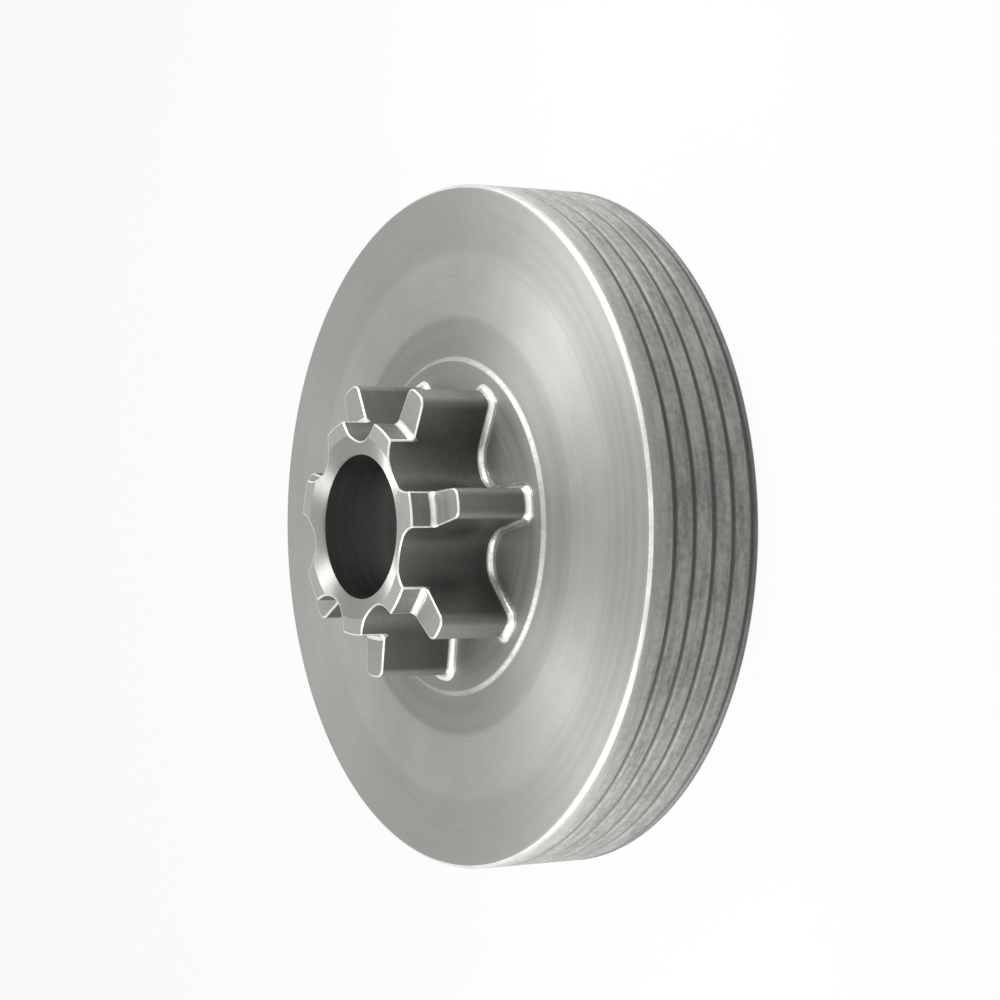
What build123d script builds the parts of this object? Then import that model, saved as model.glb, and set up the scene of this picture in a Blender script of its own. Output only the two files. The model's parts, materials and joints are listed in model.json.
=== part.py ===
from build123d import *
import os
from math import cos, radians, sin

# A clutch drum with its spur sprocket, one piece of steel. Millimetres.
# +Z runs along the axis towards the sprocket. The origin is the centre of the open rim,
# which the part stands on. One tooth of the sprocket points along -Y.

# Driving dimensions of the drum
outer_diameter = 77.0       # over the grooved wall
drum_depth = 14.2           # open rim to the plane of the front corner
rim_wall = 3.5              # outer wall to the friction wall inside
web_thickness = 2.5         # the web at its thinnest ring
dish_depth = 0.9            # how far the web's face sinks below the front corner
ring_width = 4.5            # flat ring of the web around the boss
boss_height = 0.4           # the boss above that flat ring, with its edge cut at 45 degrees
boss_margin = 1.95          # the boss beyond the tips of the teeth
front_corner_bevel = 0.5
inside_corner_bevel = 1.5
rim_edge_bevel = 0.4

# Driving dimensions of the grooves in the outer wall
groove_count = 5
front_band = 3.2            # front corner to the middle of the first groove
rim_land = 1.0              # middle of the last groove to the open rim
groove_width = 0.7          # at the wall's surface
groove_floor = 0.25         # flat bottom of a groove
groove_depth = 0.4

# Driving dimensions of the sprocket
bore_diameter = 16.0
bore_bevel = 0.7            # at the back of the web
mouth_width = 2.2           # wide shallow bevel at the front mouth of the bore
mouth_depth = 0.55
hub_wall = 1.5              # bore to the bottom of the tooth gaps
tooth_count = 7
tooth_height = 7.3          # bottom of a gap to the tip of a tooth
gap_radius = 3.75           # round bottom of a tooth gap
gap_half_angle = 30.0       # a flank to the middle line of its gap, degrees
sprocket_length = 12.2      # face of the boss to the front end
step_length = 3.0           # length of the turned-down front end
step_height = 2.55          # height of the teeth on the turned-down front end
step_bevel = 0.5            # inner corner of that step
tooth_corner_radius = 1.1   # tip corners, seen along the axis
base_bevel = 0.5            # where the sprocket meets the boss
end_bevel = 0.25            # outline of the front end

# Radii worked out from them
outer_radius = outer_diameter / 2
inner_radius = outer_radius - rim_wall
bore_radius = bore_diameter / 2
root_radius = bore_radius + hub_wall
step_radius = root_radius + step_height
tip_radius = root_radius + tooth_height
boss_top_radius = tip_radius + boss_margin
boss_radius = boss_top_radius + boss_height
ring_radius = boss_radius + ring_width
dish_radius = (ring_radius + outer_radius) / 2

# Heights above the open rim
face_height = drum_depth
ring_level = face_height - boss_height
dish_level = face_height - dish_depth
web_back = dish_level - web_thickness
sprocket_top = face_height + sprocket_length
step_level = sprocket_top - step_length

SECTION = Plane.XZ
TOLERANCE = 0.001
FIRST_TOOTH_ANGLE = -90.0


def drum_section():
    """Half section of the cup: wall, web with its dished face, flat ring and boss."""
    outline = Polyline(
        (0, web_back),
        (inner_radius - inside_corner_bevel, web_back),
        (inner_radius, web_back - inside_corner_bevel),
        (inner_radius, rim_edge_bevel),
        (inner_radius + rim_edge_bevel, 0),
        (outer_radius - rim_edge_bevel, 0),
        (outer_radius, rim_edge_bevel),
        (outer_radius, face_height - front_corner_bevel),
        (outer_radius - front_corner_bevel, face_height),
        (dish_radius, dish_level),
        (ring_radius, ring_level),
        (boss_radius, ring_level),
        (boss_top_radius, face_height),
        (0, face_height),
        close=True,
    )
    return SECTION * make_face(outline)


def groove_section(level):
    """A groove with sloping sides across the outer wall, with its middle at this height."""
    floor = groove_floor / 2
    mouth = groove_width - floor
    outline = Polyline(
        (outer_radius - groove_depth, level - floor),
        (outer_radius + groove_depth, level - mouth),
        (outer_radius + groove_depth, level + mouth),
        (outer_radius - groove_depth, level + floor),
        close=True,
    )
    return SECTION * make_face(outline)


def drum():
    groove_pitch = (drum_depth - front_band - rim_land) / (groove_count - 1)
    cup = revolve(drum_section(), Axis.Z)
    for index in range(groove_count):
        level = rim_land + index * groove_pitch
        cup -= revolve(groove_section(level), Axis.Z)
    return cup


def tooth_gap():
    """One gap along +X: a round bottom with straight flanks tangent to it."""
    angle = radians(gap_half_angle)
    centre = root_radius + gap_radius
    reach = 2 * tooth_height + gap_radius
    start = (centre - gap_radius * sin(angle), gap_radius * cos(angle))
    end = (start[0] + reach * cos(angle), start[1] + reach * sin(angle))
    outline = [
        Line((end[0], end[1]), start),
        ThreePointArc(start, (root_radius, 0), (start[0], -start[1])),
        Line((start[0], -start[1]), (end[0], -end[1])),
        Line((end[0], -end[1]), (end[0], end[1])),
    ]
    return make_face(outline)


def star():
    """Section of the sprocket, with sharp corners at the tips of its teeth."""
    first_gap_angle = FIRST_TOOTH_ANGLE + 180 / tooth_count
    section = Circle(tip_radius)
    for place in PolarLocations(0, tooth_count, first_gap_angle):
        section -= place * tooth_gap()
    return section


def rounded_tips(section):
    """The section with the corners at the tips of its teeth rounded."""
    tips = [v for v in section.vertices() if abs(Vector(v.X, v.Y).length - tip_radius) < TOLERANCE]
    return fillet(tips, tooth_corner_radius)


def step_cutter():
    """What is turned off the front end of the teeth. A bevel stays in the corner of the step."""
    clear = tip_radius + tooth_height
    outline = Polyline(
        (step_radius, sprocket_top),
        (step_radius, step_level + step_bevel),
        (step_radius + step_bevel, step_level),
        (clear, step_level),
        (clear, sprocket_top),
        close=True,
    )
    return revolve(SECTION * make_face(outline), Axis.Z)


def sprocket():
    """Teeth with rounded tips, turned down to a step at the front end."""
    teeth = extrude(rounded_tips(star()), sprocket_length)
    return Pos(0, 0, face_height) * teeth - step_cutter()


def bore_cutter():
    """The bore with a bevel at the back and a wide shallow one at the front."""
    outline = Polyline(
        (0, web_back),
        (bore_radius + bore_bevel, web_back),
        (bore_radius, web_back + bore_bevel),
        (bore_radius, sprocket_top - mouth_depth),
        (bore_radius + mouth_width, sprocket_top),
        (0, sprocket_top),
        close=True,
    )
    return revolve(SECTION * make_face(outline), Axis.Z)


def edges_at(solid, level, within):
    """Edges that lie flat at this height, no further out than the given radius."""
    flat = solid.edges().filter_by(lambda e: abs(e.bounding_box().min.Z - level) < TOLERANCE
                                   and abs(e.bounding_box().max.Z - level) < TOLERANCE)
    return flat.filter_by(lambda e: all(Vector(p.X, p.Y).length < within for p in (e @ 0, e @ 0.5)))


def clutch_drum():
    solid = drum() + sprocket()
    solid = chamfer(edges_at(solid, face_height, tip_radius + TOLERANCE), base_bevel)
    solid = chamfer(edges_at(solid, sprocket_top, step_radius + TOLERANCE), end_bevel)
    solid -= bore_cutter()
    return solid


os.makedirs("parts", exist_ok=True)
part = clutch_drum()
part.label = "clutch_drum"
export_step(part, "parts/clutch_drum.step")
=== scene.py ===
"""Looks of a chainsaw clutch drum: a shallow grooved steel cup with a spur sprocket on its web."""
import json
from math import atan2, cos, pi, radians, sin, sqrt, tan

import bmesh
import bpy
from mathutils import Matrix, Vector


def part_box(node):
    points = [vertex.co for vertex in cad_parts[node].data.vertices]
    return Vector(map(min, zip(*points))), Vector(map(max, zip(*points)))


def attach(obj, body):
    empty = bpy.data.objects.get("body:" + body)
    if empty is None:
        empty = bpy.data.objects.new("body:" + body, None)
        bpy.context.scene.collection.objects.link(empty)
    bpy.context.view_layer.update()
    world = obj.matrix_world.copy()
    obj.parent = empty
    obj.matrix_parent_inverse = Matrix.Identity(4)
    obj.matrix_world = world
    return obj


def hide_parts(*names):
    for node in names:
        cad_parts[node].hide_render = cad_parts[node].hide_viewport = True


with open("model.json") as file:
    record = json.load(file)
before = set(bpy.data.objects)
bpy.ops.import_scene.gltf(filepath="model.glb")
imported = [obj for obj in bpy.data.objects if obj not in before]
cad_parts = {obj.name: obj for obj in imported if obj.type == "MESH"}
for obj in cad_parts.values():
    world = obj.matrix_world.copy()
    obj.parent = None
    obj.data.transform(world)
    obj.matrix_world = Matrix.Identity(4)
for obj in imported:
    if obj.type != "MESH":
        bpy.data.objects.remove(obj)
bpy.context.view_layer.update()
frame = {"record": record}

# Sizes of the part, in metres, in the frame's own axes: +Z along the axis, towards the sprocket.
MM = 0.001
low_corner, high_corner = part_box("clutch_drum")
bore_mount = next(m for m in frame["record"]["mounts"] if m["name"] == "bearing_bore")

OUTER_RADIUS = (high_corner[0] - low_corner[0]) / 2
SPROCKET_TOP = high_corner[2]
BORE_RADIUS = bore_mount["dims"]["r_mm"] * MM

DRUM_DEPTH = 14.2 * MM
RIM_WALL = 3.5 * MM
WEB_THICKNESS = 2.5 * MM
DISH_DEPTH = 0.9 * MM
RING_WIDTH = 4.5 * MM
BOSS_HEIGHT = 0.4 * MM
BOSS_MARGIN = 1.95 * MM
FRONT_BEVEL = 0.5 * MM
INSIDE_BEVEL = 1.5 * MM
RIM_BEVEL = 0.4 * MM

GROOVE_COUNT = 5
FRONT_BAND = 3.2 * MM
RIM_LAND = 1.0 * MM
GROOVE_WIDTH = 0.7 * MM
GROOVE_FLOOR = 0.25 * MM
GROOVE_DEPTH = 0.4 * MM

BORE_BEVEL = 0.7 * MM
MOUTH_WIDTH = 2.2 * MM
MOUTH_DEPTH = 0.55 * MM
HUB_WALL = 1.5 * MM
TOOTH_COUNT = 7
TOOTH_HEIGHT = 7.3 * MM
GAP_RADIUS = 3.75 * MM
GAP_HALF_ANGLE = radians(30)
STEP_LENGTH = 3.0 * MM
STEP_HEIGHT = 2.55 * MM
TOOTH_CORNER = 1.1 * MM
BASE_FILLET = 0.7 * MM
STEP_FILLET = 0.6 * MM
EDGE_ROUND = 0.2 * MM

# How far the rounds on the cup's corners reach along its section.
INSIDE_ROUND = 0.9 * MM
FRONT_ROUND = 0.24 * MM
DISH_ROUND = 1.2 * MM
BOSS_ROUND = 0.16 * MM
LIP_ROUND = 0.12 * MM
FLOOR_ROUND = 0.08 * MM
FINE_ROUND = 0.1 * MM

INNER_RADIUS = OUTER_RADIUS - RIM_WALL
MOUTH_RADIUS = BORE_RADIUS + MOUTH_WIDTH
ROOT_RADIUS = BORE_RADIUS + HUB_WALL
GAP_APEX = ROOT_RADIUS + GAP_RADIUS - GAP_RADIUS / sin(GAP_HALF_ANGLE)
STEP_RADIUS = ROOT_RADIUS + STEP_HEIGHT
TIP_RADIUS = ROOT_RADIUS + TOOTH_HEIGHT
BOSS_TOP_RADIUS = TIP_RADIUS + BOSS_MARGIN
BOSS_RADIUS = BOSS_TOP_RADIUS + BOSS_HEIGHT
RING_RADIUS = BOSS_RADIUS + RING_WIDTH
DISH_RADIUS = (RING_RADIUS + OUTER_RADIUS) / 2
RING_LEVEL = DRUM_DEPTH - BOSS_HEIGHT
DISH_LEVEL = DRUM_DEPTH - DISH_DEPTH
WEB_BACK = DISH_LEVEL - WEB_THICKNESS
STEP_LEVEL = SPROCKET_TOP - STEP_LENGTH

# How finely the meshes are divided.
TURN_STEPS = 288
CORNER_SEGMENTS = 5
STEP_SEGMENTS = 4
FINE_SEGMENTS = 3
FLOOR_SEGMENTS = 2
GAP_SEGMENTS = 28
TIP_SEGMENTS = 8
ARC_CUTS = 5

# How near places have to be, and which angles count as corners.
MERGE_DISTANCE = 0.001 * MM
NEAR = 0.01 * MM
ON_CIRCLE = 0.1 * MM
SAME_TOOTH = 0.9            # cosine of the angle to the middle of a tooth
CORE_VERTICES = 40          # the core's face has more than these
STRAIGHT_CORNER = radians(60)
SHARP_EDGE = radians(32)
SMOOTH_EDGE = radians(40)


def deselect_all():
    if bpy.context.mode != "OBJECT":
        bpy.ops.object.mode_set(mode="OBJECT")
    bpy.ops.object.select_all(action="DESELECT")


def start_line(name, place):
    """A new object in edit mode that holds one selected vertex at the given place."""
    deselect_all()
    bpy.ops.mesh.primitive_plane_add(size=MM, enter_editmode=True)
    piece = bpy.context.object
    piece.name = name
    piece.data.name = name
    bpy.ops.mesh.merge(type="CENTER")
    bpy.ops.transform.translate(value=place)
    return piece


def draw_to(place, last):
    """Extrudes the selected vertex from the last place to the next one."""
    step = Vector(place) - Vector(last)
    bpy.ops.mesh.extrude_region_move(TRANSFORM_OT_translate={"value": step})


def draw_line(name, corners):
    piece = start_line(name, corners[0])
    for last, place in zip(corners, corners[1:]):
        draw_to(place, last)
    return piece


def edit_mesh(piece):
    return bmesh.from_edit_mesh(piece.data)


def select_where(piece, kind, test):
    """Selects the vertices, edges or faces of a piece in edit mode that pass a test."""
    bpy.ops.mesh.select_all(action="DESELECT")
    bpy.ops.mesh.select_mode(type={"verts": "VERT", "edges": "EDGE", "faces": "FACE"}[kind])
    mesh = edit_mesh(piece)
    count = 0
    for item in getattr(mesh, kind):
        if test(item):
            item.select_set(True)
            count += 1
    mesh.select_flush_mode()
    bmesh.update_edit_mesh(piece.data)
    return count


def soften_corners(piece, places, reach, segments):
    """Rounds the vertices of a drawn line at the given places."""
    spots = [Vector(p) for p in places]
    select_where(piece, "verts", lambda v: any((v.co - s).length < NEAR for s in spots))
    bpy.ops.mesh.bevel(offset=reach, offset_type="OFFSET", segments=segments, affect="VERTICES")


def in_section(radius, level):
    return (radius, 0.0, level)


def groove_corners():
    """Lips and floors of the wall's grooves, from the open rim to the front."""
    pitch = (DRUM_DEPTH - FRONT_BAND - RIM_LAND) / (GROOVE_COUNT - 1)
    lips, floors, line = [], [], []
    for index in range(GROOVE_COUNT):
        level = RIM_LAND + index * pitch
        lower_lip = in_section(OUTER_RADIUS, level - GROOVE_WIDTH / 2)
        lower_floor = in_section(OUTER_RADIUS - GROOVE_DEPTH, level - GROOVE_FLOOR / 2)
        upper_floor = in_section(OUTER_RADIUS - GROOVE_DEPTH, level + GROOVE_FLOOR / 2)
        upper_lip = in_section(OUTER_RADIUS, level + GROOVE_WIDTH / 2)
        lips += [lower_lip, upper_lip]
        floors += [lower_floor, upper_floor]
        line += [lower_lip, lower_floor, upper_floor, upper_lip]
    return lips, floors, line


def mouth_level(radius):
    """Height of the front end, which falls towards the bore in a wide shallow bevel."""
    inside = max(MOUTH_RADIUS - radius, 0.0)
    return SPROCKET_TOP - inside * MOUTH_DEPTH / MOUTH_WIDTH


def turn_drum():
    """The cup, turned from its half section: bore, web, friction wall, rim, grooves and face."""
    lips, floors, wall = groove_corners()
    bore_corners = [
        in_section(BORE_RADIUS, WEB_BACK + BORE_BEVEL),
        in_section(BORE_RADIUS + BORE_BEVEL, WEB_BACK),
    ]
    inside_corners = [
        in_section(INNER_RADIUS - INSIDE_BEVEL, WEB_BACK),
        in_section(INNER_RADIUS, WEB_BACK - INSIDE_BEVEL),
    ]
    rim_corners = [
        in_section(INNER_RADIUS, RIM_BEVEL),
        in_section(INNER_RADIUS + RIM_BEVEL, 0),
        in_section(OUTER_RADIUS - RIM_BEVEL, 0),
        in_section(OUTER_RADIUS, RIM_BEVEL),
    ]
    front_corners = [
        in_section(OUTER_RADIUS, DRUM_DEPTH - FRONT_BEVEL),
        in_section(OUTER_RADIUS - FRONT_BEVEL, DRUM_DEPTH),
    ]
    face_rings = [in_section(DISH_RADIUS, DISH_LEVEL), in_section(RING_RADIUS, RING_LEVEL)]
    boss_foot = in_section(BOSS_RADIUS, RING_LEVEL)
    boss_edge = in_section(BOSS_TOP_RADIUS, DRUM_DEPTH)
    mouth_radii = (BORE_RADIUS + HUB_WALL / 2, BORE_RADIUS)
    section = [in_section(radius, mouth_level(radius)) for radius in mouth_radii]
    section += bore_corners + inside_corners + rim_corners + wall
    section += front_corners + face_rings + [boss_foot, boss_edge]
    section += [in_section(BOSS_TOP_RADIUS - BOSS_MARGIN / 4, DRUM_DEPTH)]
    drum = draw_line("clutch_drum_steel", section)
    soften_corners(drum, inside_corners, INSIDE_ROUND, CORNER_SEGMENTS)
    soften_corners(drum, front_corners, FRONT_ROUND, CORNER_SEGMENTS)
    soften_corners(drum, face_rings, DISH_ROUND, CORNER_SEGMENTS)
    soften_corners(drum, [boss_edge, boss_foot], BOSS_ROUND, CORNER_SEGMENTS)
    soften_corners(drum, lips, LIP_ROUND, FINE_SEGMENTS)
    soften_corners(drum, floors, FLOOR_ROUND, FLOOR_SEGMENTS)
    soften_corners(drum, bore_corners + rim_corners, FINE_ROUND, FINE_SEGMENTS)
    bpy.ops.mesh.select_all(action="SELECT")
    bpy.ops.mesh.spin(steps=TURN_STEPS, angle=2 * pi, center=(0, 0, 0), axis=(0, 0, 1))
    bpy.ops.mesh.select_all(action="SELECT")
    bpy.ops.mesh.remove_doubles(threshold=MERGE_DISTANCE)
    return drum


def flank_point(radius):
    """Where a gap's flank meets a circle, in the gap's own axes: along its middle line, and across."""
    half = GAP_APEX * cos(GAP_HALF_ANGLE)
    along = sqrt(half ** 2 + radius ** 2 - GAP_APEX ** 2) - half
    return GAP_APEX + along * cos(GAP_HALF_ANGLE), along * sin(GAP_HALF_ANGLE)


def round_gap(sprocket, centre):
    """Sets the round bottom of a gap on its own circle."""
    mesh = edit_mesh(sprocket)
    for vertex in mesh.verts:
        if vertex.co.xy.length < STEP_RADIUS - NEAR:
            vertex.co = centre + (vertex.co - centre).normalized() * GAP_RADIUS
    bmesh.update_edit_mesh(sprocket.data)


def cut_sprocket():
    """The spur sprocket: one gap drawn, rounded and repeated, then raised in two steps."""
    middle = -pi / 2 + pi / TOOTH_COUNT
    turn = Matrix.Rotation(middle, 3, "Z")
    half_pitch = pi / TOOTH_COUNT

    def place(along, across):
        return turn @ Vector((along, across, 0)) + Vector((0, 0, DRUM_DEPTH))

    tip_along, tip_across = flank_point(TIP_RADIUS)
    step_along, step_across = flank_point(STEP_RADIUS)
    crown = (TIP_RADIUS * cos(half_pitch), TIP_RADIUS * sin(half_pitch))
    gap = [
        place(crown[0], crown[1]),
        place(tip_along, tip_across),
        place(step_along, step_across),
        place(GAP_APEX, 0),
        place(step_along, -step_across),
        place(tip_along, -tip_across),
        place(crown[0], -crown[1]),
    ]
    sprocket = draw_line("sprocket", gap)
    bottom = gap[3]
    tips = [gap[1], gap[5]]
    soften_corners(sprocket, [bottom], GAP_RADIUS / tan(GAP_HALF_ANGLE), GAP_SEGMENTS)
    round_gap(sprocket, place(ROOT_RADIUS + GAP_RADIUS, 0))
    corner_turn = pi / 2 - GAP_HALF_ANGLE + atan2(tip_across, tip_along)
    soften_corners(sprocket, tips, TOOTH_CORNER * tan(corner_turn / 2), TIP_SEGMENTS)
    bpy.ops.mesh.select_all(action="SELECT")
    bpy.ops.mesh.spin(steps=TOOTH_COUNT, dupli=True, angle=2 * pi, center=(0, 0, 0), axis=(0, 0, 1))
    bpy.ops.mesh.select_all(action="SELECT")
    bpy.ops.mesh.remove_doubles(threshold=MERGE_DISTANCE)
    bpy.ops.mesh.edge_face_add()
    rise = (0, 0, STEP_LEVEL - DRUM_DEPTH)
    bpy.ops.mesh.extrude_region_move(TRANSFORM_OT_translate={"value": rise})
    turn_down_tips(sprocket)
    select_where(sprocket, "faces", lambda f: is_core(f, DRUM_DEPTH))
    bpy.ops.mesh.delete(type="ONLY_FACE")
    return sprocket


def on_circle(vertex, radius, level):
    """True for a vertex at a level that lies on a circle, or is the nearest one to it on a gap's round."""
    return abs(vertex.co.z - level) < NEAR and abs(vertex.co.xy.length - radius) < ON_CIRCLE


def split_teeth(sprocket, radius, level):
    """Splits the flat top at a level along a circle, across each tooth."""
    for index in range(TOOTH_COUNT):
        angle = -pi / 2 + index * 2 * pi / TOOTH_COUNT
        tooth = Vector((cos(angle), sin(angle)))
        select_where(sprocket, "verts", lambda v: on_circle(v, radius, level)
                     and v.co.xy.normalized().dot(tooth) > SAME_TOOTH)
        bpy.ops.mesh.vert_connect_path()
    select_where(sprocket, "edges", lambda e: all(on_circle(v, radius, level) for v in e.verts))
    bpy.ops.mesh.subdivide(number_cuts=ARC_CUTS)
    mesh = edit_mesh(sprocket)
    for vertex in mesh.verts:
        if vertex.select and abs(vertex.co.z - level) < NEAR:
            vertex.co.xy = vertex.co.xy.normalized() * radius
    bmesh.update_edit_mesh(sprocket.data)


def turn_down_tips(sprocket):
    """Raises the core inside the step's circle to the front end, and opens it for the bore's mouth."""
    split_teeth(sprocket, STEP_RADIUS, STEP_LEVEL)
    select_where(sprocket, "faces", lambda f: is_core(f, STEP_LEVEL))
    rise = (0, 0, STEP_LENGTH)
    bpy.ops.mesh.extrude_region_move(TRANSFORM_OT_translate={"value": rise})
    split_teeth(sprocket, MOUTH_RADIUS, SPROCKET_TOP)
    bpy.ops.mesh.mark_sharp()
    select_where(sprocket, "faces", lambda f: is_core(f, SPROCKET_TOP))
    bpy.ops.mesh.delete(type="ONLY_FACE")
    mesh = edit_mesh(sprocket)
    for vertex in mesh.verts:
        if abs(vertex.co.z - SPROCKET_TOP) < NEAR:
            vertex.co.z = mouth_level(vertex.co.xy.length)
    bmesh.update_edit_mesh(sprocket.data)


def is_core(face, level):
    """True for the flat face of the sprocket's core at a level."""
    centre = face.calc_center_median()
    at_level = abs(centre.z - level) < NEAR
    return at_level and len(face.verts) > CORE_VERTICES and centre.xy.length < BORE_RADIUS


def join_and_close(drum, sprocket):
    """Joins the sprocket to the cup, and closes the rings between their edges at its foot and its front."""
    deselect_all()
    drum.select_set(True)
    sprocket.select_set(True)
    bpy.context.view_layer.objects.active = drum
    bpy.ops.object.join()
    bpy.ops.object.mode_set(mode="EDIT")
    select_where(drum, "edges", lambda e: e.is_boundary and e.verts[0].co.z < STEP_LEVEL)
    bpy.ops.mesh.fill(use_beauty=True)
    select_where(drum, "edges", lambda e: e.is_boundary and e.verts[0].co.z > STEP_LEVEL)
    bpy.ops.mesh.bridge_edge_loops()
    bpy.ops.mesh.select_all(action="SELECT")
    bpy.ops.mesh.normals_make_consistent(inside=False)


def is_base_edge(edge):
    """True for the edges where the sprocket's sides stand on the boss."""
    if any(abs(v.co.z - DRUM_DEPTH) > NEAR for v in edge.verts) or len(edge.link_faces) != 2:
        return False
    on_sprocket = edge.verts[0].co.xy.length < TIP_RADIUS + NEAR
    return on_sprocket and edge.calc_face_angle(0.0) > STRAIGHT_CORNER


def is_step_corner(edge):
    """True for the inner corners between the turned-down front end and the teeth behind it."""
    on_step = all(on_circle(v, STEP_RADIUS, STEP_LEVEL) for v in edge.verts)
    return on_step and edge.calc_face_angle(0.0) > STRAIGHT_CORNER


def finish_edges(drum):
    """Fillets at the sprocket's foot and step, then a fine round on every edge that is still sharp."""
    # The fillets and fine rounds take the edge finish, whose pale grey is a painted highlight.
    edge_slot = FINISHES.index("burnished_edge")
    foot = (is_base_edge, BASE_FILLET, CORNER_SEGMENTS)
    step = (is_step_corner, STEP_FILLET, STEP_SEGMENTS)
    for test, reach, segments in (foot, step):
        select_where(drum, "edges", test)
        bpy.ops.mesh.bevel(offset=reach, offset_type="OFFSET", segments=segments, affect="EDGES",
                           loop_slide=False, material=edge_slot)
    bpy.ops.object.mode_set(mode="OBJECT")
    rounding = drum.modifiers.new("edge_round", "BEVEL")
    rounding.width = EDGE_ROUND
    rounding.segments = FINE_SEGMENTS
    rounding.limit_method = "ANGLE"
    rounding.angle_limit = SHARP_EDGE
    rounding.use_clamp_overlap = False
    rounding.material = edge_slot
    bpy.ops.object.modifier_apply(modifier=rounding.name)
    bpy.ops.object.shade_smooth_by_angle(angle=SMOOTH_EDGE)
    weighting = drum.modifiers.new("flat_faces", "WEIGHTED_NORMAL")
    weighting.keep_sharp = True
    bpy.ops.object.modifier_apply(modifier=weighting.name)


# How far a face may lean: the share of its normal along the axis, or away from the axis.
LEANING = 0.5
NEARLY_LEVEL = 0.98
OUTWARDS = 0.9


def finish_of(place, normal):
    """The finish of a face, by where it lies and which way it looks."""
    radius = place.xy.length
    upright = abs(normal.z) < LEANING
    outwards = normal.xy.normalized().dot(place.xy.normalized()) if upright else 0.0
    if radius < BORE_RADIUS + NEAR:
        return "bore_wall"
    in_front_mouth = radius < MOUTH_RADIUS and place.z > SPROCKET_TOP - MOUTH_DEPTH and not upright
    if in_front_mouth or radius < BORE_RADIUS + BORE_BEVEL:
        return "bore_mouth"
    if place.z > DRUM_DEPTH + NEAR:
        if not upright:
            return "milled_end" if place.z > STEP_LEVEL + NEAR else "step_face"
        on_step_wall = place.z > STEP_LEVEL and radius > STEP_RADIUS - NEAR and outwards > OUTWARDS
        return "step_wall" if on_step_wall else "tooth_side"
    if radius > OUTER_RADIUS - GROOVE_DEPTH - NEAR and place.z > RIM_BEVEL:
        # The front corner takes the edge finish, whose pale grey is a painted highlight.
        front_edge = place.z > DRUM_DEPTH - FRONT_BEVEL - NEAR
        return "burnished_edge" if front_edge else "grooved_wall"
    if normal.z > LEANING:
        if BOSS_TOP_RADIUS - EDGE_ROUND < radius < BOSS_RADIUS and normal.z < NEARLY_LEVEL:
            return "worn_edge"
        return "boss_face" if radius < BOSS_TOP_RADIUS else "turned_face"
    return "friction_wall" if upright else "web_back"


def give_finishes(drum):
    """Gives each face its finish. The rounded edges have theirs, except those of the bore."""
    edge_slot = FINISHES.index("burnished_edge")
    for face in drum.data.polygons:
        at_bore = face.center.xy.length < BORE_RADIUS + BORE_BEVEL
        if at_bore or face.material_index != edge_slot:
            face.material_index = FINISHES.index(finish_of(face.center, face.normal))


def build_drum():
    drum = turn_drum()
    sprocket = cut_sprocket()
    join_and_close(drum, sprocket)
    for make_finish in FINISH_MAKERS:
        drum.data.materials.append(make_finish())
    finish_edges(drum)
    give_finishes(drum)
    return drum


# Small tools for shader nodes. An input is given as a plain value or as another node's output.
def add_node(tree, kind, inputs=None, **settings):
    node = tree.nodes.new("ShaderNode" + kind)
    for name, value in settings.items():
        setattr(node, name, value)
    for key, value in (inputs or {}).items():
        if isinstance(value, bpy.types.NodeSocket):
            tree.links.new(value, node.inputs[key])
        else:
            node.inputs[key].default_value = value
    return node


def math(tree, operation, *values):
    return add_node(tree, "Math", dict(enumerate(values)), operation=operation).outputs[0]


def between(tree, value, low, high, to_low, to_high):
    """Maps a value from one range to another, and holds it there."""
    inputs = {"Value": value, "From Min": low, "From Max": high, "To Min": to_low, "To Max": to_high}
    return add_node(tree, "MapRange", inputs).outputs["Result"]


def add_up(tree, parts, start=0.0):
    """Adds values, each times its own weight, to a start value."""
    total = start
    for value, weight in parts:
        total = math(tree, "MULTIPLY_ADD", value, weight, total)
    return total


def mix_colours(tree, share, first, second):
    node = add_node(tree, "Mix", data_type="RGBA")
    for key, value in (("Factor_Float", share), ("A_Color", first), ("B_Color", second)):
        socket = next(s for s in node.inputs if s.identifier == key)
        if isinstance(value, bpy.types.NodeSocket):
            tree.links.new(value, socket)
        else:
            socket.default_value = value
    return next(s for s in node.outputs if s.identifier == "Result_Color")


def start_group(name, inputs, outputs):
    """A new node group with named values in and out, and its two end nodes."""
    tree = bpy.data.node_groups.new(name, "ShaderNodeTree")
    for socket in inputs:
        tree.interface.new_socket(socket, in_out="INPUT", socket_type="NodeSocketFloat")
    for socket in outputs:
        tree.interface.new_socket(socket, in_out="OUTPUT", socket_type="NodeSocketFloat")
    entry = tree.nodes.new("NodeGroupInput")
    leave = tree.nodes.new("NodeGroupOutput")
    return tree, entry.outputs, leave.inputs


def use_group(tree, group, **values):
    node = tree.nodes.new("ShaderNodeGroup")
    node.node_tree = group
    for name, value in values.items():
        if isinstance(value, bpy.types.NodeSocket):
            tree.links.new(value, node.inputs[name])
        else:
            node.inputs[name].default_value = value
    return node.outputs


def turned_place_group():
    """How far a point lies from the drum's axis, and how high above the open rim."""
    tree, _, leave = start_group("turned_place", [], ["Radius", "Level"])
    point = add_node(tree, "TexCoord").outputs["Object"]
    flat = add_node(tree, "VectorMath", {0: point, 1: (1, 1, 0)}, operation="MULTIPLY").outputs[0]
    radius = add_node(tree, "VectorMath", {0: flat}, operation="LENGTH").outputs["Value"]
    tree.links.new(radius, leave["Radius"])
    level = add_node(tree, "SeparateXYZ", {0: point}).outputs["Z"]
    tree.links.new(level, leave["Level"])
    return tree


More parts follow.
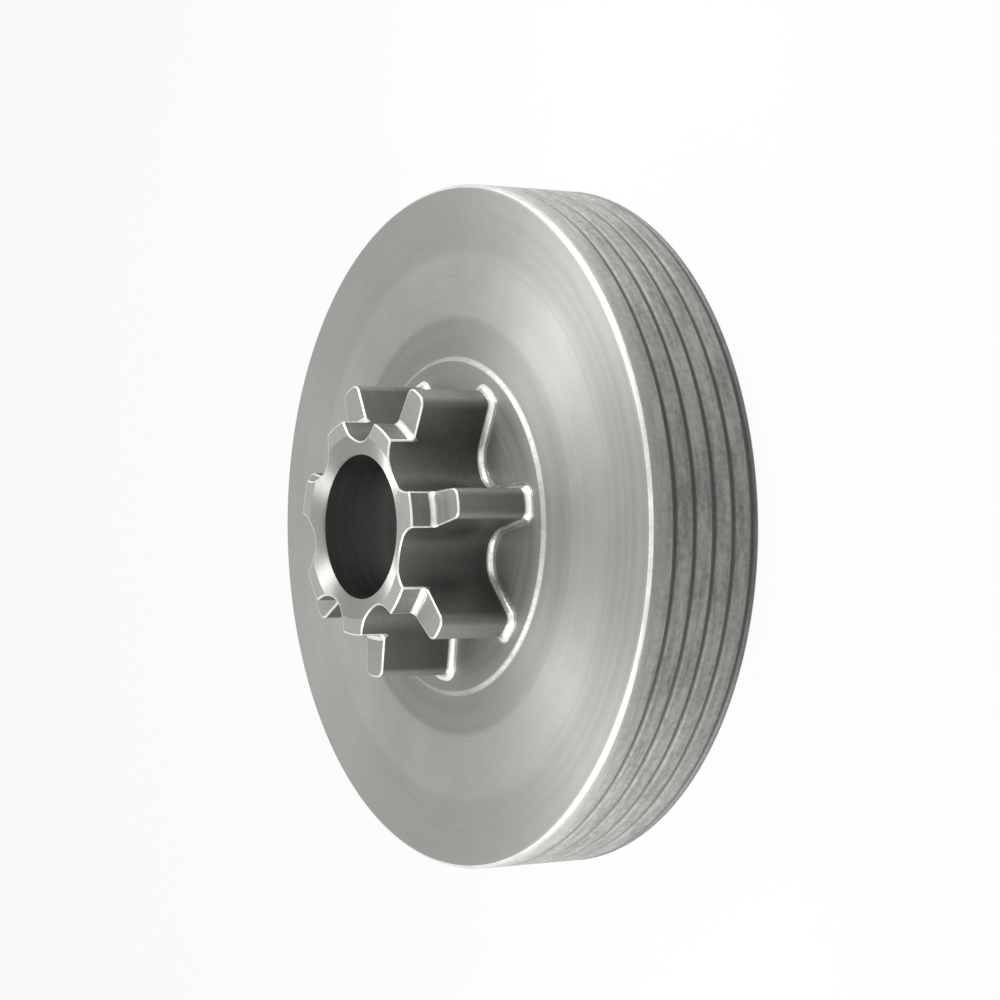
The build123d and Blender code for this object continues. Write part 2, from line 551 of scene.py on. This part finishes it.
def tool_marks_group():
    """Uneven lines left by a turning tool, across a given distance."""
    tree, entry, leave = start_group("tool_marks", ["Across", "Pitch"], ["Fine", "Broad"])
    count = math(tree, "DIVIDE", entry["Across"], entry["Pitch"])
    fine = add_node(tree, "TexNoise", {"W": count, "Scale": 1.0, "Detail": 3.0, "Roughness": 0.65},
                    noise_dimensions="1D")
    tree.links.new(fine.outputs[0], leave["Fine"])
    broad = add_node(tree, "TexNoise", {"W": count, "Scale": 0.12, "Detail": 2.0}, noise_dimensions="1D")
    tree.links.new(broad.outputs[0], leave["Broad"])
    return tree


def grain_group():
    """Fine grain of the steel and the wider clouds left by handling, each by its own size."""
    tree, entry, leave = start_group("steel_grain", ["Grain Size", "Cloud Size"], ["Grain", "Clouds"])
    point = add_node(tree, "TexCoord").outputs["Object"]
    for output, size, detail in (("Grain", "Grain Size", 3.0), ("Clouds", "Cloud Size", 4.0)):
        scale = math(tree, "DIVIDE", 1.0, entry[size])
        inputs = {"Vector": point, "Scale": scale, "Detail": detail, "Roughness": 0.6}
        noise = add_node(tree, "TexNoise", inputs)
        tree.links.new(noise.outputs[0], leave[output])
    return tree


TURNED_PLACE = turned_place_group()
TOOL_MARKS = tool_marks_group()
STEEL_GRAIN = grain_group()


def start_metal(name):
    material = bpy.data.materials.new(name)
    material.use_nodes = True
    tree = material.node_tree
    shader = tree.nodes["Principled BSDF"]
    shader.inputs["Metallic"].default_value = 1.0
    return material, tree, shader


def spread_from_axis(tree, shader, strength):
    """Stretches the gloss across the turning marks, away from the axis."""
    point = add_node(tree, "TexCoord").outputs["Object"]
    flat = add_node(tree, "VectorMath", {0: point, 1: (1, 1, 0)}, operation="MULTIPLY").outputs[0]
    outwards = add_node(tree, "VectorMath", {0: flat}, operation="NORMALIZE").outputs[0]
    shader.inputs["Anisotropic"].default_value = strength
    tree.links.new(outwards, shader.inputs["Tangent"])


def raise_bump(tree, shader, height, distance):
    bump = add_node(tree, "Bump", {"Height": height, "Distance": distance, "Strength": 1.0})
    tree.links.new(bump.outputs["Normal"], shader.inputs["Normal"])


WARMTH = 0.05


def grey(level):
    """A steel grey, a little warmer than neutral."""
    return (level, level, level * (1 - WARMTH), 1)


# Noise keeps mostly to this range.
NOISE_RANGE = (0.3, 0.7)

# Turned steel: the sizes of its grain and clouds, the height of the tool's marks, the range of the
# summed noise between its dark and its light tone, and how far its roughness varies.
TURNED_GRAIN = 0.35 * MM
TURNED_CLOUDS = 9 * MM
MARK_HEIGHT = 0.004 * MM
TURNED_TONES = (0.4, 0.9)
TURNED_SPREAD = 0.04


def turned_metal(name, dark, light, roughness, pitch, stretch=0.0, flat=True):
    """Satin steel with the marks of a turning tool, round a flat face or along a round wall."""
    material, tree, shader = start_metal(name)
    place = use_group(tree, TURNED_PLACE)
    across = place["Radius"] if flat else place["Level"]
    marks = use_group(tree, TOOL_MARKS, Across=across, Pitch=pitch)
    grain = use_group(tree, STEEL_GRAIN, **{"Grain Size": TURNED_GRAIN, "Cloud Size": TURNED_CLOUDS})
    tone = add_up(tree, [(grain["Clouds"], 0.6), (marks["Fine"], 0.4), (grain["Grain"], 0.3)])
    share = between(tree, tone, *TURNED_TONES, 0.0, 1.0)
    colour = mix_colours(tree, share, grey(dark), grey(light))
    smooth, dull = roughness - TURNED_SPREAD, roughness + TURNED_SPREAD
    rough = between(tree, marks["Broad"], *NOISE_RANGE, smooth, dull)
    if flat:
        spread_from_axis(tree, shader, stretch)
    height = add_up(tree, [(marks["Broad"], 2.0)], start=marks["Fine"])
    raise_bump(tree, shader, height, MARK_HEIGHT)
    tree.links.new(colour, shader.inputs["Base Color"])
    tree.links.new(rough, shader.inputs["Roughness"])
    return material


RING_BLEND = 0.4 * MM        # half the width over which one ring of the face blends into the next


def turned_face():
    """The web's face in three rings: a rougher ring by the boss, painted darker as shade from the sprocket,
    a bright slope, and a slightly darker, rougher border.
    """
    material = turned_metal("turned_face", dark=0.33, light=0.43, roughness=0.55, pitch=0.16 * MM,
                            stretch=0.55)
    tree = material.node_tree
    shader = tree.nodes["Principled BSDF"]
    radius = use_group(tree, TURNED_PLACE)["Radius"]
    inner = between(tree, radius, RING_RADIUS - RING_BLEND, RING_RADIUS + RING_BLEND, 1.0, 0.0)
    border = between(tree, radius, DISH_RADIUS - RING_BLEND, DISH_RADIUS + RING_BLEND, 0.0, 1.0)
    colour = shader.inputs["Base Color"].links[0].from_socket
    # Painted shade: the ring by the boss is mixed towards a darker grey, for the dark sprocket it mirrors.
    colour = mix_colours(tree, math(tree, "MULTIPLY", inner, 0.6), colour, grey(0.26))
    colour = mix_colours(tree, math(tree, "MULTIPLY", border, 0.4), colour, grey(0.31))
    tree.links.new(colour, shader.inputs["Base Color"])
    rough = shader.inputs["Roughness"].links[0].from_socket
    rough = add_up(tree, [(inner, 0.09), (border, 0.03)], start=rough)
    tree.links.new(rough, shader.inputs["Roughness"])
    return material


def boss_face():
    return turned_metal("boss_face", dark=0.24, light=0.31, roughness=0.54, pitch=0.16 * MM, stretch=0.4)


def milled_end():
    return turned_metal("milled_end", dark=0.33, light=0.42, roughness=0.48, pitch=0.12 * MM, stretch=0.35)


def step_face():
    return turned_metal("step_face", dark=0.29, light=0.37, roughness=0.55, pitch=0.12 * MM)


def friction_wall():
    return turned_metal("friction_wall", dark=0.34, light=0.46, roughness=0.35, pitch=0.2 * MM, flat=False)


def web_back():
    return turned_metal("web_back", dark=0.28, light=0.38, roughness=0.5, pitch=0.25 * MM, stretch=0.5)


def bore_mouth():
    return turned_metal("bore_mouth", dark=0.4, light=0.52, roughness=0.6, pitch=0.1 * MM, stretch=0.97)


def bore_wall():
    # Painted shade: the bore's wall is painted near black for the shade inside the hole.
    return turned_metal("bore_wall", dark=0.065, light=0.105, roughness=0.45, pitch=0.15 * MM, flat=False)


# Mottled steel: the range of its summed noise, how far its roughness varies, and how much wider its
# clouds are than its grain.
MOTTLED_TONES = (0.4, 0.72)
MOTTLED_SPREAD = 0.06
CLOUD_RATIO = 10


def mottled_metal(name, dark, light, metallic, roughness, grain_size, relief):
    """Steel that was left as it was formed or has been rubbed, with uneven tone and grain."""
    material, tree, shader = start_metal(name)
    shader.inputs["Metallic"].default_value = metallic
    sizes = {"Grain Size": grain_size, "Cloud Size": CLOUD_RATIO * grain_size}
    grain = use_group(tree, STEEL_GRAIN, **sizes)
    tone = add_up(tree, [(grain["Clouds"], 0.6), (grain["Grain"], 0.5)])
    share = between(tree, tone, *MOTTLED_TONES, 0.0, 1.0)
    tree.links.new(mix_colours(tree, share, grey(dark), grey(light)), shader.inputs["Base Color"])
    dull, smooth = roughness + MOTTLED_SPREAD, roughness - MOTTLED_SPREAD
    rough = between(tree, grain["Grain"], *NOISE_RANGE, dull, smooth)
    tree.links.new(rough, shader.inputs["Roughness"])
    raise_bump(tree, shader, grain["Grain"], relief)
    return material


# Painted highlight: rounded edges and fillets get a far paler grey than the faces, for the bright lines of
# light they catch.
def burnished_edge():
    return mottled_metal("burnished_edge", dark=0.62, light=0.95, metallic=1.0, roughness=0.3,
                         grain_size=0.45 * MM, relief=0.006 * MM)


def worn_edge():
    return mottled_metal("worn_edge", dark=0.29, light=0.43, metallic=1.0, roughness=0.58,
                         grain_size=0.45 * MM, relief=0.006 * MM)


# How metallic the teeth are on their sides, and on the lands at their tips.
SIDE_METALLIC = 0.9
LAND_METALLIC = 0.3


def tooth_side():
    """Sides of the teeth painted dark as shade, a little paler towards the front end, with paler, less
    metallic lands at the tips.
    """
    # Painted shade: the sides of the teeth get a near-black grey, for the shade on sides that turn away
    # from the light.
    material = mottled_metal("tooth_side", dark=0.085, light=0.13, metallic=SIDE_METALLIC, roughness=0.46,
                             grain_size=0.5 * MM, relief=0.008 * MM)
    tree = material.node_tree
    shader = tree.nodes["Principled BSDF"]
    place = use_group(tree, TURNED_PLACE)
    land_start, land = TIP_RADIUS - TOOTH_CORNER, TIP_RADIUS - TOOTH_CORNER / 4
    tip = between(tree, place["Radius"], land_start, land, 0.0, 1.0)
    front = between(tree, place["Level"], DRUM_DEPTH, SPROCKET_TOP, 0.0, 1.0)
    colour = shader.inputs["Base Color"].links[0].from_socket
    colour = mix_colours(tree, math(tree, "MULTIPLY", front, 0.5), colour, grey(0.24))
    tip_land = math(tree, "MULTIPLY", tip, math(tree, "MULTIPLY_ADD", front, 0.6, 0.1))
    colour = mix_colours(tree, tip_land, colour, grey(0.27))
    tree.links.new(colour, shader.inputs["Base Color"])
    metallic = between(tree, tip, 0.0, 1.0, SIDE_METALLIC, LAND_METALLIC)
    tree.links.new(metallic, shader.inputs["Metallic"])
    return material


def step_wall():
    return mottled_metal("step_wall", dark=0.17, light=0.24, metallic=0.8, roughness=0.4,
                         grain_size=0.4 * MM, relief=0.008 * MM)


# Looks of the wall: its grain, its streaks, how deep in a groove its colour is painted dark as shade all
# over and where that painted shade ends, the range of its summed noise, and its roughness.
WALL_GRAIN = 0.6 * MM
WALL_CLOUDS = 7 * MM
WALL_RELIEF = 0.03 * MM
STREAK_LENGTH = 5 * MM
STREAK_SQUEEZE = 7          # how many times a streak is longer than wide
GROOVE_DARK = 0.25 * MM
GROOVE_LIT = 0.03 * MM
WALL_TONES = (0.65, 1.1)
WALL_DULL = 0.62
WALL_SMOOTH = 0.48


def streaks_along_wall(tree):
    """Noise drawn out round the drum: its places are squeezed along the axis."""
    point = add_node(tree, "TexCoord").outputs["Object"]
    squeeze = {0: point, 1: (1, 1, STREAK_SQUEEZE)}
    squeezed = add_node(tree, "VectorMath", squeeze, operation="MULTIPLY").outputs[0]
    inputs = {"Vector": squeezed, "Scale": 1 / STREAK_LENGTH, "Detail": 3.0, "Roughness": 0.6}
    return add_node(tree, "TexNoise", inputs).outputs[0]


def grooved_wall():
    """Grainy outer wall, matt as it left the mould, with grooves painted dark as shade between streaked
    bands.
    """
    material, tree, shader = start_metal("grooved_wall")
    shader.inputs["Metallic"].default_value = 0.1
    shader.inputs["Specular IOR Level"].default_value = 0.3
    place = use_group(tree, TURNED_PLACE)
    grain = use_group(tree, STEEL_GRAIN, **{"Grain Size": WALL_GRAIN, "Cloud Size": WALL_CLOUDS})
    tone = add_up(tree, [(grain["Clouds"], 0.3), (grain["Grain"], 0.6), (streaks_along_wall(tree), 0.9)])
    share = between(tree, tone, *WALL_TONES, 0.0, 1.0)
    bands = mix_colours(tree, share, grey(0.23), grey(0.48))
    front = between(tree, place["Level"], DRUM_DEPTH - FRONT_BAND, DRUM_DEPTH - FRONT_BEVEL, 0.0, 0.6)
    bands = mix_colours(tree, front, bands, grey(0.58))
    # Painted shade: the land at the open rim is mixed towards a darker grey.
    rim = between(tree, place["Level"], RIM_LAND - GROOVE_WIDTH / 2, RIM_LAND, 0.6, 0.0)
    bands = mix_colours(tree, rim, bands, grey(0.17))
    # Painted shade: deep in the grooves the colour goes to a dark grey.
    dark, lit = OUTER_RADIUS - GROOVE_DARK, OUTER_RADIUS - GROOVE_LIT
    raised = between(tree, place["Radius"], dark, lit, 0.0, 1.0)
    colour = mix_colours(tree, raised, grey(0.21), bands)
    tree.links.new(colour, shader.inputs["Base Color"])
    rough = between(tree, grain["Grain"], *NOISE_RANGE, WALL_DULL, WALL_SMOOTH)
    tree.links.new(rough, shader.inputs["Roughness"])
    raise_bump(tree, shader, grain["Grain"], WALL_RELIEF)
    return material


FINISH_MAKERS = (turned_face, burnished_edge, worn_edge, tooth_side, step_wall, step_face, milled_end,
                 boss_face, grooved_wall, bore_mouth, bore_wall, friction_wall, web_back)
FINISHES = [make_finish.__name__ for make_finish in FINISH_MAKERS]


# Camera of the photograph: it looks down on the face, rolled so that the drum's axis points left.
CAMERA_LENS = 98.17
SENSOR_WIDTH = 36
NEAREST_SEEN = 0.01
CAMERA_DISTANCE = 8.0 * OUTER_RADIUS
CAMERA_TILT = radians(56.94)
CAMERA_TURN = radians(-9.43)
AIM_RIGHT = 0.1507 * OUTER_RADIUS
AIM_UP = 0.0769 * OUTER_RADIUS


def place_camera():
    camera = bpy.data.objects.new("camera", bpy.data.cameras.new("camera"))
    bpy.context.collection.objects.link(camera)
    camera.data.lens = CAMERA_LENS
    camera.data.sensor_width = SENSOR_WIDTH
    camera.data.clip_start = NEAREST_SEEN
    spin = Matrix.Rotation(CAMERA_TURN, 3, "Z")
    back = spin @ Vector((0, -sin(CAMERA_TILT), cos(CAMERA_TILT)))
    right = spin @ Vector((0, -cos(CAMERA_TILT), -sin(CAMERA_TILT)))
    up = back.cross(right)
    place = Vector((0, 0, DRUM_DEPTH)) + back * CAMERA_DISTANCE + right * AIM_RIGHT + up * AIM_UP
    turn = Matrix((right, up, back)).transposed()
    camera.matrix_world = Matrix.Translation(place) @ turn.to_4x4()
    bpy.context.scene.camera = camera


# Soft lamps above and below the drum in the picture, by their places in drum radii:
# towards the picture's top, towards its left, and out along the drum's axis.
LAMPS = (
    ("upper_lamp", (1.8, -0.35, 1.5), 0.085),
    ("lower_lamp", (-1.75, -0.75, 1.25), 0.064),
)
LAMP_SIZE = 1.3 * OUTER_RADIUS
LAMP_AIM = (0.0, -0.45, 0.0)
WORLD_LIGHT = 0.22
FLOOR_SIZE = 6
FLOOR_GREY = 0.75
FLOOR_GLOW = 0.94


def in_picture(place):
    """A place given in drum radii, turned with the camera, from the middle of the drum's face."""
    spin = Matrix.Rotation(CAMERA_TURN, 3, "Z")
    return spin @ Vector(place) * OUTER_RADIUS + Vector((0, 0, DRUM_DEPTH))


def hang_lamps():
    for name, place, power in LAMPS:
        light = bpy.data.lights.new(name, "AREA")
        light.size = LAMP_SIZE
        light.energy = power
        lamp = bpy.data.objects.new(name, light)
        bpy.context.collection.objects.link(lamp)
        lamp.location = in_picture(place)
        look = in_picture(LAMP_AIM) - in_picture(place)
        lamp.rotation_euler = look.to_track_quat("-Z", "Y").to_euler()
        lamp.visible_camera = False


def seen_directly(tree):
    """1 where the camera, a reflection or a clear material looks, and 0 for light that is scattered."""
    rays = add_node(tree, "LightPath").outputs
    share = math(tree, "MAXIMUM", rays["Is Camera Ray"], rays["Is Glossy Ray"])
    return math(tree, "MAXIMUM", share, rays["Is Transmission Ray"])


def lay_floor():
    """A white floor that keeps a soft shadow of the drum."""
    deselect_all()
    bpy.ops.mesh.primitive_plane_add(size=FLOOR_SIZE)
    floor = bpy.context.object
    floor.name = "floor"
    material = bpy.data.materials.new("white_floor")
    material.use_nodes = True
    tree = material.node_tree
    paper = tree.nodes["Principled BSDF"]
    paper.inputs["Base Color"].default_value = (FLOOR_GREY, FLOOR_GREY, FLOOR_GREY, 1)
    paper.inputs["Roughness"].default_value = 0.9
    paper.inputs["Specular IOR Level"].default_value = 0.0
    glow = add_node(tree, "Emission", {"Color": (1, 1, 1, 1), "Strength": 1.0})
    share = math(tree, "MULTIPLY", seen_directly(tree), FLOOR_GLOW)
    blend = add_node(tree, "MixShader", {0: share, 1: paper.outputs[0], 2: glow.outputs[0]})
    tree.links.new(blend.outputs[0], tree.nodes["Material Output"].inputs["Surface"])
    floor.data.materials.append(material)


def light_world():
    world = bpy.data.worlds.new("studio")
    bpy.context.scene.world = world
    world.use_nodes = True
    tree = world.node_tree
    sky = tree.nodes["Background"]
    sky.inputs["Color"].default_value = (1, 1, 1, 1)
    strength = between(tree, seen_directly(tree), 0.0, 1.0, WORLD_LIGHT, 1.0)
    tree.links.new(strength, sky.inputs["Strength"])


bpy.context.scene.view_settings.view_transform = "Standard"
drum = build_drum()
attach(drum, "root")
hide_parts("clutch_drum")
lay_floor()
light_world()
hang_lamps()
place_camera()
